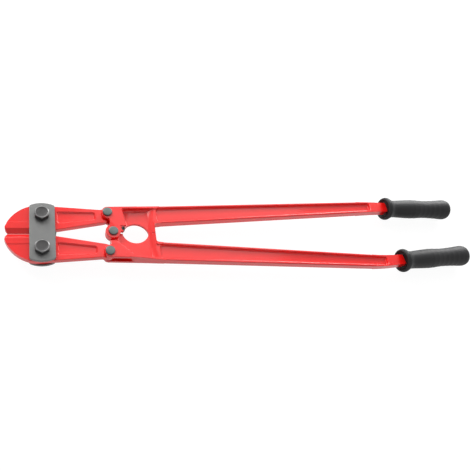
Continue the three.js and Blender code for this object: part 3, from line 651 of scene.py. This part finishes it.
@dataclass
class RivetPin(Fastener):
    """Pin with a low domed head in front, its back end riveted over a collar.

    Attributes:
        radius: radius of the shank.
        head_r: radius of the head.
        seat: height of the head's underside.
        top: height of the middle of its face.
        brow: rounding of the head's edge.
        rise: how far its face is domed.
        collar_r: radius of the collar.
        collar_top: height of the collar's face on the forging.
        collar_thickness: thickness of the collar.
        rivet_lip: how far the riveted end spreads past the shank.
        rivet_height: how far it stands behind the collar.
        hammer: depth of its hammer flats.
    """

    radius: float = 4.5
    head_r: float = 6.2
    seat: float = 10.0
    top: float = 13.0
    brow: float = 1.15
    rise: float = 0.35
    collar_r: float = 6.4
    collar_top: float = -10.0
    collar_thickness: float = 1.8
    rivet_lip: float = 1.1
    rivet_height: float = 0.9
    hammer: float = 0.06

    def pin(self) -> Skin:
        """The pin: rivet dome, shank, and a head with a rounded brow.

        The dome follows height = low + 0.7 * rivet_height * (r / lip)^4, plus |hammer * cos(5 a)| *
        r / lip for ten hammer flats. The head's face follows height = top - rise * (r / face)^2.

        Returns:
            The surface.
        """
        collar_low = self.collar_top - self.collar_thickness
        lip = self.radius + self.rivet_lip
        dome_r = np.linspace(0.4, lip, 7)[:, None]
        flats = self.hammer * np.cos(5 * self.angles()) * (dome_r / lip)
        dome_z = collar_low - self.rivet_height + 0.7 * self.rivet_height * (dome_r / lip) ** 4
        dome = self.rings(dome_r, dome_z + np.abs(flats))
        under = self.seat - 0.05
        shank = self.turned([(lip, collar_low), (self.radius, collar_low), (self.radius, under)])
        turn, face = np.linspace(0, np.pi / 2, 7), self.head_r - self.brow
        brow_r = face + self.brow * np.cos(turn)
        brow_z = self.top - self.rise - self.brow + self.brow * np.sin(turn)
        face_r = np.linspace(face - 0.5, 0.5, 5)
        face_z = self.top - self.rise * (face_r / face) ** 2
        side = [(self.head_r - 0.2, self.seat), (self.head_r, self.seat + 0.2)]
        head = self.turned([*side, *zip(brow_r, brow_z), *zip(face_r, face_z)])
        return Skin(np.concatenate([dome, shank, head]))

    def collar(self) -> Skin:
        """A closed ring with eased edges, most of all the lower outer one.

        Returns:
            The surface.
        """
        bore, edge, ease = self.radius + 0.25, self.collar_r, 0.3
        low, high = self.collar_top - self.collar_thickness, self.collar_top
        outline = [
            (bore, low + ease), (bore + ease, low), (edge - 2 * ease, low),
            (edge - 0.6 * ease, low + 0.6 * ease), (edge, low + 2 * ease), (edge, high - ease),
            (edge - ease, high), (bore + ease, high), (bore, high - ease),
        ]
        return Skin(self.turned(outline), torus=True)

    def build(self, title: str, body: str, place: ToolPlace, look: Look) -> None:
        """Make the pin and its collar.

        Args:
            title: start of the nodes' names, such as "centre".
            body: the body both ride on.
            place: the tool's place.
            look: the finish.
        """
        for kind, skin in {"pin": self.pin(), "collar": self.collar()}.items():
            piece = skin.piece(f"{title}_{kind}_dressed", place)
            settle(piece, body, [f"{title}_{kind}"], look)


# ---- Grips ----


@dataclass
class Grip:
    """Moulded grip: flared ring, waist, swelling and a rounded end, hollow at the mouth.

    Attributes:
        half: upper or lower.
        mouth_y: distance of the widest ring's centre from the closing line.
        tilt_deg: how far the grip turns outwards.
        mouth_x: tool X of that centre.
        profile: (distance behind the widest ring, radius) of the outside.
        mouth_r: radius of the hollow at its rim.
        mouth_depth: depth of the hollow's floor behind the widest ring.
        mouth_floor_r: radius of that floor.
        tang_half: half height of the tang, which closes the floor's middle.
        around: points round the axis.
        rib_height: height of the shallow ribs.
        rib_start: distance behind the widest ring where the ribs start.
        rib_end: and where they end.
        rib_pitch: distance from rib to rib.
        rib_fade: length over which the ribs come and go.
    """

    half: Half
    mouth_y: float
    tilt_deg: float
    mouth_x: float = 607.0
    profile: tuple[Pair, ...] = (
        (-2.8, 17.1), (-1.4, 18.7), (1, 19.4), (4, 19.1), (8.5, 17), (13.5, 15.2), (20.5, 14.8),
        (36, 15.6), (60, 16.6), (85, 15.6), (108, 16.3), (126, 17.5), (133, 17.8), (138, 16.8),
        (140.6, 14.2), (141.2, 10.5),
    )
    mouth_r: float = 16.1
    mouth_depth: float = 1.5
    mouth_floor_r: float = 13.0
    tang_half: float = 7.4
    around: int = 96
    rib_height: float = 0.22
    rib_start: float = 46.0
    rib_end: float = 126.0
    rib_pitch: float = 11.0
    rib_fade: float = 10.0

    def outside(self) -> tuple[Array, Array]:
        """Distance and radius along the outside.

        A Catmull-Rom curve runs through the profile, 24 points to a span. Between the ribs the
        radius falls by rib_height * (1 - cos^4(pi * distance / rib_pitch)), with the distance from
        rib_start.

        Returns:
            Arrays of distance and radius.
        """
        knots = np.array(self.profile, float)
        before = 2 * knots[0] - knots[1]
        after = 2 * knots[-1] - knots[-2]
        held = np.vstack([before, knots, after])
        t = np.linspace(0, 1, 24, endpoint=False)[None, :, None]
        p0, p1, p2, p3 = (held[i : len(held) - 3 + i][:, None, :] for i in range(4))
        path = 0.5 * (
            2 * p1 + (p2 - p0) * t + (2 * p0 - 5 * p1 + 4 * p2 - p3) * t**2
            + (3 * p1 - p0 - 3 * p2 + p3) * t**3
        )
        path = np.vstack([path.reshape(-1, 2), knots[-1]])
        along, radius = path[:, 0], path[:, 1]
        past, left = along - self.rib_start, self.rib_end - along
        fade = np.clip(past / self.rib_fade, 0, 1) * np.clip(left / self.rib_fade, 0, 1)
        wave = np.cos(np.pi * past / self.rib_pitch) ** 4
        return along, radius + self.rib_height * fade * (wave - 1)

    def skin(self) -> Skin:
        """Rings from the bottom of the hollow, out over the rim and along to the rounded end.

        Each point = widest ring's centre + distance * axis + radius * (cos a * side + sin a * up).

        Returns:
            The surface.
        """
        along, radius = self.outside()
        rim, depth, floor_r = along[0], self.mouth_depth, self.mouth_floor_r
        hollow = [
            (depth, self.tang_half + 1.0), (depth, floor_r - 0.9), (depth - 0.2, floor_r + 0.1),
            (depth - 0.9, floor_r + 0.7), (rim + 1.0, self.mouth_r - 0.3),
            (rim + 0.3, self.mouth_r + 0.15), (rim, 0.5 * (self.mouth_r + radius[0])),
        ]
        end = [(along[-1] + 0.4, radius[-1] - 3.2), (along[-1] + 0.6, radius[-1] - 7.5)]
        path = np.vstack([hollow, np.column_stack([along, radius]), end])
        tilt = math.radians(self.tilt_deg)
        axis = np.array([math.cos(tilt), math.sin(tilt), 0.0])
        side = np.array([-math.sin(tilt), math.cos(tilt), 0.0])
        up = np.array([0.0, 0.0, 1.0])
        start = np.array([self.mouth_x, self.mouth_y, 0.0])
        a = np.linspace(0, 2 * np.pi, self.around, endpoint=False)[:, None]
        ring = np.cos(a) * side + np.sin(a) * up
        rings = start + path[:, :1, None] * axis + path[:, 1:, None] * ring
        rings[..., 1] *= self.half.value
        return Skin(rings, sharp_deg=50.0)

    def build(self, place: ToolPlace, look: Look) -> None:
        """Make the grip and settle it on its handle."""
        piece = self.skin().piece(f"{self.half.word}_grip_moulded", place)
        settle(piece, f"{self.half.word}_handle", [f"{self.half.word}_grip"], look)


# ---- Changes of shape ----


def smooth_step(value: Array, low: float, high: float) -> Array:
    """0 below low, 1 above high, and 3 t^2 - 2 t^3 between them."""
    t = np.clip((value - low) / (high - low), 0.0, 1.0)
    return t * t * (3 - 2 * t)


@dataclass(frozen=True)
class Reshape:
    """A change of shape that a forging's mesh gets before its edges are rounded.

    Attributes:
        place: the tool's place.
        half: which half of the tool the forging belongs to.
    """

    place: ToolPlace
    half: Half

    def apply(self, edit: Edit) -> None:
        """Change the mesh, each kind of change in its own way."""
        raise NotImplementedError

    def cut(self, edit: Edit, parts: Sequence, point: Triple, normal: Triple) -> None:
        """Split a mesh's vertices, edges and faces along a plane through a tool point."""
        at = self.place.row(point)
        bmesh.ops.bisect_plane(edit, geom=parts, dist=CUT_SLACK, plane_co=at, plane_no=normal)

    @staticmethod
    def move(edit: Edit, axis: int, by: Array) -> None:
        """Move a mesh's vertices along one axis.

        Args:
            edit: the mesh.
            axis: 0 for X, 1 for Y, 2 for Z.
            by: how far each vertex moves, in millimetres.
        """
        edit.verts.ensure_lookup_table()
        for index in np.flatnonzero(by):
            edit.verts[index].co[axis] += by[index] * MM


@dataclass(frozen=True)
class OuterEdge(Reshape):
    """A change of width along the outer edge of a jaw's tail or of a handle's head.

    The edge moves by swell * window(X) * depth(Y): the window rises between the first two places and
    falls between the last two, and the depth falls to nothing inside the edge.

    Attributes:
        swell: how far the edge moves outwards.
        window: the four tool X of the window.
        depth: distances from the closing line where the move starts and is full.
    """

    swell: float
    window: Window
    depth: Pair

    def apply(self, edit: Edit) -> None:
        """Move the edge.

        Args:
            edit: the forging's mesh.
        """
        points = self.place.tool(edit.verts)
        first, full, last, none = self.window
        along = smooth_step(points[:, 0], first, full) * (1 - smooth_step(points[:, 0], last, none))
        out = self.swell * along * smooth_step(self.half.value * points[:, 1], *self.depth)
        self.move(edit, 1, self.half.value * out)


@dataclass(frozen=True)
class JawTail(OuterEdge):
    """A jaw's tail, which is fuller along its outside."""

    swell: float = 0.9
    window: Window = (52.0, 62.0, 116.0, 123.0)
    depth: Pair = (18.0, 27.0)


@dataclass(frozen=True)
class HandleHead(OuterEdge):
    """A handle's head, which is drawn in along its outside."""

    swell: float = -1.5
    window: Window = (128.0, 160.0, 170.0, 204.0)
    depth: Pair = (29.0, 37.0)


@dataclass(frozen=True)
class JawLand(Reshape):
    """The raised land along a jaw's cutting edge: outside it, both faces are ground a little lower.

    Attributes:
        width: distance of the step from the closing line.
        slope: run of the step.
        drop: depth of the step.
        reach: tool X where the lower face ends, hidden under the side plates.
        face_z: height of the jaw's face.
    """

    width: float = 15.4
    slope: float = 0.5
    drop: float = 0.5
    reach: float = 37.0
    face_z: float = 4.5

    def apply(self, edit: Edit) -> None:
        """Cut the faces along the step and sink what lies outside it.

        Args:
            edit: the jaw's mesh.
        """
        side, steps = self.half.value, (0.0, self.slope)
        cuts = [((0.0, side * (self.width + step), 0.0), (0.0, 1.0, 0.0)) for step in steps]
        cuts += [((self.reach - step, 0.0, 0.0), (1.0, 0.0, 0.0)) for step in steps]
        for point, normal in cuts:
            self.cut(edit, [*edit.verts, *edit.edges, *edit.faces], point, normal)
        points = self.place.tool(edit.verts)
        outside = side * points[:, 1] > self.width + self.slope - TOUCH
        ahead = points[:, 0] < self.reach - self.slope + TOUCH
        facing = np.abs(points[:, 2]) > self.face_z - TOUCH
        sink = -np.copysign(self.drop, points[:, 2])
        self.move(edit, 2, np.where(outside & ahead & facing, sink, 0.0))


@dataclass(frozen=True)
class ShortShank(Reshape):
    """A headless screw's shank, drawn in so that it ends part way through its hole.

    Attributes:
        draw_in: how far its back end moves forward.
    """

    draw_in: float = 11.0

    def apply(self, edit: Edit) -> None:
        """Move the back end, which is all that lies below the middle plane."""
        behind = self.place.tool(edit.verts)[:, 2] < 0
        self.move(edit, 2, np.where(behind, self.draw_in, 0.0))


@dataclass(frozen=True)
class SlopedRim(Reshape):
    """A pad's edge along its slanted step, dressed down to a narrow slope on both faces.

    Attributes:
        start: tool X and distance from the closing line where the step starts.
        end: and where it ends.
        width: width of the slope, measured into the pad.
        slope: fall per millimetre.
        face_z: height of the pad's face.
        overlap: how far outside the step a vertex still counts as on the slope.
        lead_in: how far before the step's start the slope begins.
        lead_out: how far before the step's end it stops.
    """

    start: Pair = (137.5, 14.5)
    end: Pair = (159.5, 35.4)
    width: float = 2.4
    slope: float = 0.5
    face_z: float = 10.0
    overlap: float = 0.05
    lead_in: float = 0.7
    lead_out: float = 0.5

    def apply(self, edit: Edit) -> None:
        """Split the pad's faces along the slope's upper edge, then sink what lies below it.

        Args:
            edit: the handle's mesh.
        """
        side = self.half.value
        run = np.subtract(self.end, self.start)
        length = float(np.linalg.norm(run))
        ahead = run / length
        inwards = np.array([-ahead[1], ahead[0]])
        middle = np.add(self.start, self.end) / 2 + inwards * self.width
        faces = [face for face in edit.faces if self.near(face, middle, length)]
        edges = dict.fromkeys(edge for face in faces for edge in face.edges)
        verts = dict.fromkeys(vert for face in faces for vert in face.verts)
        normal = (float(inwards[0]), side * float(inwards[1]), 0.0)
        self.cut(edit, [*faces, *edges, *verts], (middle[0], side * middle[1], 0.0), normal)
        points = self.place.tool(edit.verts)
        flat = np.column_stack([points[:, 0], side * points[:, 1]]) - self.start
        along, inside = flat @ ahead, flat @ inwards
        level = self.face_z - self.slope * (self.width - inside)
        band = (inside > -self.overlap) & (inside < self.width)
        band &= (along > -self.lead_in) & (along < length - self.lead_out)
        proud = np.abs(points[:, 2]) - level
        self.move(edit, 2, np.where(band & (proud > 0), -np.copysign(proud, points[:, 2]), 0.0))

    def near(self, face: bmesh.types.BMFace, middle: Array, length: float) -> bool:
        """Whether a face lies on the pad, close to the step.

        Args:
            face: the face.
            middle: middle of the slope's upper edge, in tool X and distance from the closing line.
            length: the step's length.

        Returns:
            True if the face is level with the pad and its box reaches the step's surroundings.
        """
        points = self.place.tool(face.verts) * (1, self.half.value, 1)
        level = np.abs(points[:, 2]) > self.face_z - TOUCH
        low, high = points.min(0)[:2], points.max(0)[:2]
        return bool(level.all() and (low < middle + length).all() and (high > middle - length).all())


# ---- Forgings ----


@dataclass
class Forging:
    """A forged or pressed piece that keeps its node's own shape, with its edges rounded over.

    Attributes:
        node: the frame's node.
        title: the piece's name.
        body: the body it rides on.
        slot: the record's material slot; not used.
        ease: width of the rounding, in millimetres.
        changes: changes of shape made before the edges are rounded.
        hard_deg: edges that turn more than this are rounded, in degrees.
        sharp_deg: edges that still turn more than this afterwards stay sharp, in degrees.
    """

    node: str
    title: str
    body: str
    slot: str
    ease: float = 0.4
    changes: Sequence[Reshape] = ()
    hard_deg: float = 32.0
    sharp_deg: float = 40.0

    def roomy_edges(self, edit: Edit) -> list[bmesh.types.BMEdge]:
        """The hard edges that the rounding fits on without folding the faces beside it.

        A face's width is taken as 2 * area / perimeter.

        Args:
            edit: the mesh.

        Returns:
            The edges, each longer than 2.2 roundings and between faces wider than 2.5 roundings.
        """
        ease = self.ease * MM
        edit.faces.index_update()
        width = [2 * face.calc_area() / face.calc_perimeter() for face in edit.faces]
        return [
            edge
            for edge in edit.edges
            if edge.is_manifold
            and edge.calc_face_angle() > math.radians(self.hard_deg)
            and edge.calc_length() > 2.2 * ease
            and min(width[face.index] for face in edge.link_faces) > 2.5 * ease
        ]

    def eased_copy(self) -> Piece:
        """A new piece from the node's own shape: flats cleaned up and its hard edges rounded over.

        Returns:
            The new object, at the row's origin, with its flats shaded flat.
        """
        mesh = bpy.data.objects[self.node].data.copy()
        mesh.name = self.title
        edit = bmesh.new()
        edit.from_mesh(mesh)
        bmesh.ops.remove_doubles(edit, verts=edit.verts, dist=NODE_WELD)
        for change in self.changes:
            change.apply(edit)
        bmesh.ops.recalc_face_normals(edit, faces=edit.faces)
        flat = math.radians(FLAT_DEG)
        bmesh.ops.dissolve_limit(edit, angle_limit=flat, verts=edit.verts, edges=edit.edges)
        bmesh.ops.bevel(
            edit, geom=self.roomy_edges(edit), offset=self.ease * MM, offset_type="OFFSET",
            segments=3, profile=0.5, affect="EDGES",
        )
        edit.to_mesh(mesh)
        edit.free()
        held = mesh.attributes.get("custom_normal")
        if held:
            mesh.attributes.remove(held)
        shade(mesh, self.sharp_deg)
        made = put(self.title, mesh)
        made.modifiers.new("flats_first", "WEIGHTED_NORMAL").keep_sharp = True
        return made

    def build(self, look: Look) -> None:
        """Copy the node's shape, round its edges and settle it."""
        settle(self.eased_copy(), self.body, [self.node], look)


# ---- Studio ----


@dataclass(frozen=True)
class Lamp:
    """A square soft lamp that faces the tool's middle.

    Attributes:
        name: the lamp's name.
        way: direction from the tool towards the lamp, in the row's frame.
        distance: in metres.
        size: side of the square, in metres.
        watts: power.
    """

    name: str
    way: Triple
    distance: float
    size: float
    watts: float

    def build(self) -> None:
        """Hang the lamp."""
        data = bpy.data.lights.new(self.name, "AREA")
        data.shape = "SQUARE"
        data.size = self.size
        data.energy = self.watts
        made = put(self.name, data)
        way = Vector(self.way).normalized()
        made.location = way * self.distance
        made.rotation_mode = "QUATERNION"
        made.rotation_quaternion = way.to_track_quat("Z", "Y")


LAMPS = (
    Lamp("key_lamp", (-0.50, 0.70, 0.51), 2.0, 1.3, 38.0),
    Lamp("soft_lamp", (0.23, 0.45, 0.86), 2.0, 1.1, 7.0),
    Lamp("end_lamp", (0.71, 0.67, 0.22), 1.8, 0.8, 18.0),
    Lamp("rim_lamp", (0.50, 0.78, 0.37), 2.0, 0.75, 14.0),
    Lamp("back_lamp", (-0.10, 0.96, 0.27), 2.0, 1.0, 12.0),
    Lamp("front_lamp", (0.10, -0.95, 0.22), 2.0, 1.2, 6.0),
)


@dataclass
class Studio:
    """Floor, world, lamps and camera.

    Attributes:
        place: the tool's place.
        eye: camera place, tool millimetres.
        right: the camera's right.
        up: the camera's up.
        lens: focal length on the sensor.
        sensor: width of the sensor.
        clip: nearest and farthest distance that the camera sees, in metres.
        floor_half: half side of the floor, in metres.
        floor_z: height of the floor, in metres.
        paper: tint of the floor.
        lift: how much of the floor is plain white where it is seen.
        white: strength of that white.
        world_strength: strength of the even light.
    """

    place: ToolPlace
    eye: Triple = (23.58, -316.23, 609.86)
    right: Triple = (0.92190, -0.17680, 0.34474)
    up: Triple = (-0.00125, 0.88844, 0.45899)
    lens: float = 38.298
    sensor: float = 36.0
    clip: Pair = (0.05, 50.0)
    floor_half: float = 6.0
    floor_z: float = -0.0002
    paper: float = 0.9
    lift: float = 0.85
    white: float = 1.12
    world_strength: float = 0.17

    def camera(self) -> None:
        """Place the camera from its eye point and its right and up directions."""
        right = np.array(self.right) / np.linalg.norm(self.right)
        up = np.array(self.up) - right * np.dot(right, self.up)
        up /= np.linalg.norm(up)
        back = np.cross(right, up)
        data = bpy.data.cameras.new("studio_camera")
        data.lens = self.lens
        data.sensor_width = self.sensor
        data.clip_start, data.clip_end = self.clip
        made = put("studio_camera", data)
        turn = Matrix(np.column_stack([right, up, back]).tolist())
        made.matrix_world = Matrix.Translation(Vector(self.place.row(self.eye))) @ turn.to_4x4()
        bpy.context.scene.camera = made

    def floor(self) -> None:
        """A pale floor just under the tool, lifted to white where it is seen straight or mirrored."""
        half, z = self.floor_half, self.floor_z
        corners = [(-half, -half, z), (half, -half, z), (half, half, z), (-half, half, z)]
        mesh = bpy.data.meshes.new("studio_floor")
        mesh.from_pydata(corners, [], [(0, 1, 2, 3)])
        made = put("studio_floor", mesh)
        look = bpy.data.materials.new("studio_floor")
        look.use_nodes = True
        tree = look.node_tree
        tree.nodes.clear()
        paper = new_node(tree, "BsdfDiffuse", {"Color": (self.paper, self.paper, self.paper, 1)})
        white = new_node(tree, "Emission", {"Strength": self.white})
        share = math_node(tree, "MULTIPLY", self.seen(tree), self.lift)
        mix = new_node(tree, "MixShader", {0: share, 1: paper.outputs[0], 2: white.outputs[0]})
        new_node(tree, "OutputMaterial", {"Surface": mix.outputs[0]})
        mesh.materials.append(look)

    @staticmethod
    def seen(tree: Tree) -> Socket:
        """1 for camera, glossy and transmission rays, 0 for the rest.

        Args:
            tree: the floor's or the world's node tree.

        Returns:
            The socket with that value.
        """
        rays = new_node(tree, "LightPath").outputs
        some = math_node(tree, "MAXIMUM", rays["Is Camera Ray"], rays["Is Glossy Ray"])
        return math_node(tree, "MAXIMUM", some, rays["Is Transmission Ray"])

    def world(self) -> None:
        """An even sky for the light, and plain white where it is seen."""
        made = bpy.data.worlds.new("studio_world")
        made.use_nodes = True
        tree = made.node_tree
        tree.nodes.clear()
        light, white = (
            new_node(tree, "Background", {"Strength": strength, "Color": (1, 1, 1, 1)}).outputs[0]
            for strength in (self.world_strength, 1.0)
        )
        mix = new_node(tree, "MixShader", {0: self.seen(tree), 1: light, 2: white})
        new_node(tree, "OutputWorld", {"Surface": mix.outputs[0]})
        bpy.context.scene.world = made

    def build(self) -> None:
        """Set the stage."""
        self.camera()
        self.floor()
        self.world()
        for lamp in LAMPS:
            lamp.build()
        bpy.context.scene.view_settings.view_transform = "Standard"


# ---- The tool ----


@dataclass
class BoltCutters:
    """The whole tool: builds each sub-assembly on its body.

    Attributes:
        place: the tool's place.
        jaw_pivot: tool X and Y of the upper jaw pivot.
        link_pin: tool X and Y of the upper link pin.
        centre_pin: tool X of the centre pin.
    """

    place: ToolPlace
    jaw_pivot: Pair = (43.5, 24.0)
    link_pin: Pair = (126.5, 29.0)
    centre_pin: float = 132.5

    def build(self) -> None:
        """Make every piece in order."""
        finishes = (RED_ENAMEL, PLATE_GREY, BLACKENED, PIN_ZINC, GRIP_RUBBER)
        enamel, plate, black, zinc, rubber = (finish.material() for finish in finishes)
        (bolt_x, bolt_y), (pin_x, pin_y) = self.jaw_pivot, self.link_pin
        for half in Half:
            at = (self.place, half)
            rim = (SlopedRim(*at),) if half is Half.LOWER else ()
            shapes = {"jaw": (JawLand(*at), JawTail(*at)), "handle": (*rim, HandleHead(*at))}
            for kind, changes in shapes.items():
                name = f"{half.word}_{kind}"
                Forging(name, f"{name}_forged", name, "red_paint", changes=changes).build(enamel)
            PlateBolt(bolt_x, half.value * bolt_y).build(half, self.place, black)
            pin = RivetPin(pin_x, half.value * pin_y)
            pin.build(f"{half.word}_link", f"{half.word}_handle", self.place, zinc)
        centre = RivetPin(self.centre_pin, 0.0, radius=3.7, collar_r=9.0, collar_top=-2.3)
        centre.build("centre", "upper_handle", self.place, zinc)
        for node in ("front_plate", "back_plate"):
            Forging(node, f"{node}_pressed", "plates", "plate_steel").build(plate)
        for node, word, body, ease, changes in (
            ("plate_spacer", "block", "plates", 0.25, ()),
            ("stop_screw", "socket", "upper_handle", 0.12, (ShortShank(self.place, Half.UPPER),)),
        ):
            Forging(node, f"{node}_{word}", body, "bolt_steel", ease, changes).build(black)
        Grip(Half.UPPER, mouth_y=51.5, tilt_deg=0.5).build(self.place, rubber)
        Grip(Half.LOWER, mouth_y=48.7, tilt_deg=-2.9).build(self.place, rubber)


def main() -> None:
    """Load the frame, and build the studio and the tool."""
    logging.basicConfig(level=logging.INFO, format="%(name)s: %(message)s")
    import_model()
    place = ToolPlace.from_frame(*BoltCutters.jaw_pivot)
    Studio(place).build()
    BoltCutters(place).build()
    bpy.context.view_layer.update()


if __name__ == "__main__":
    main()
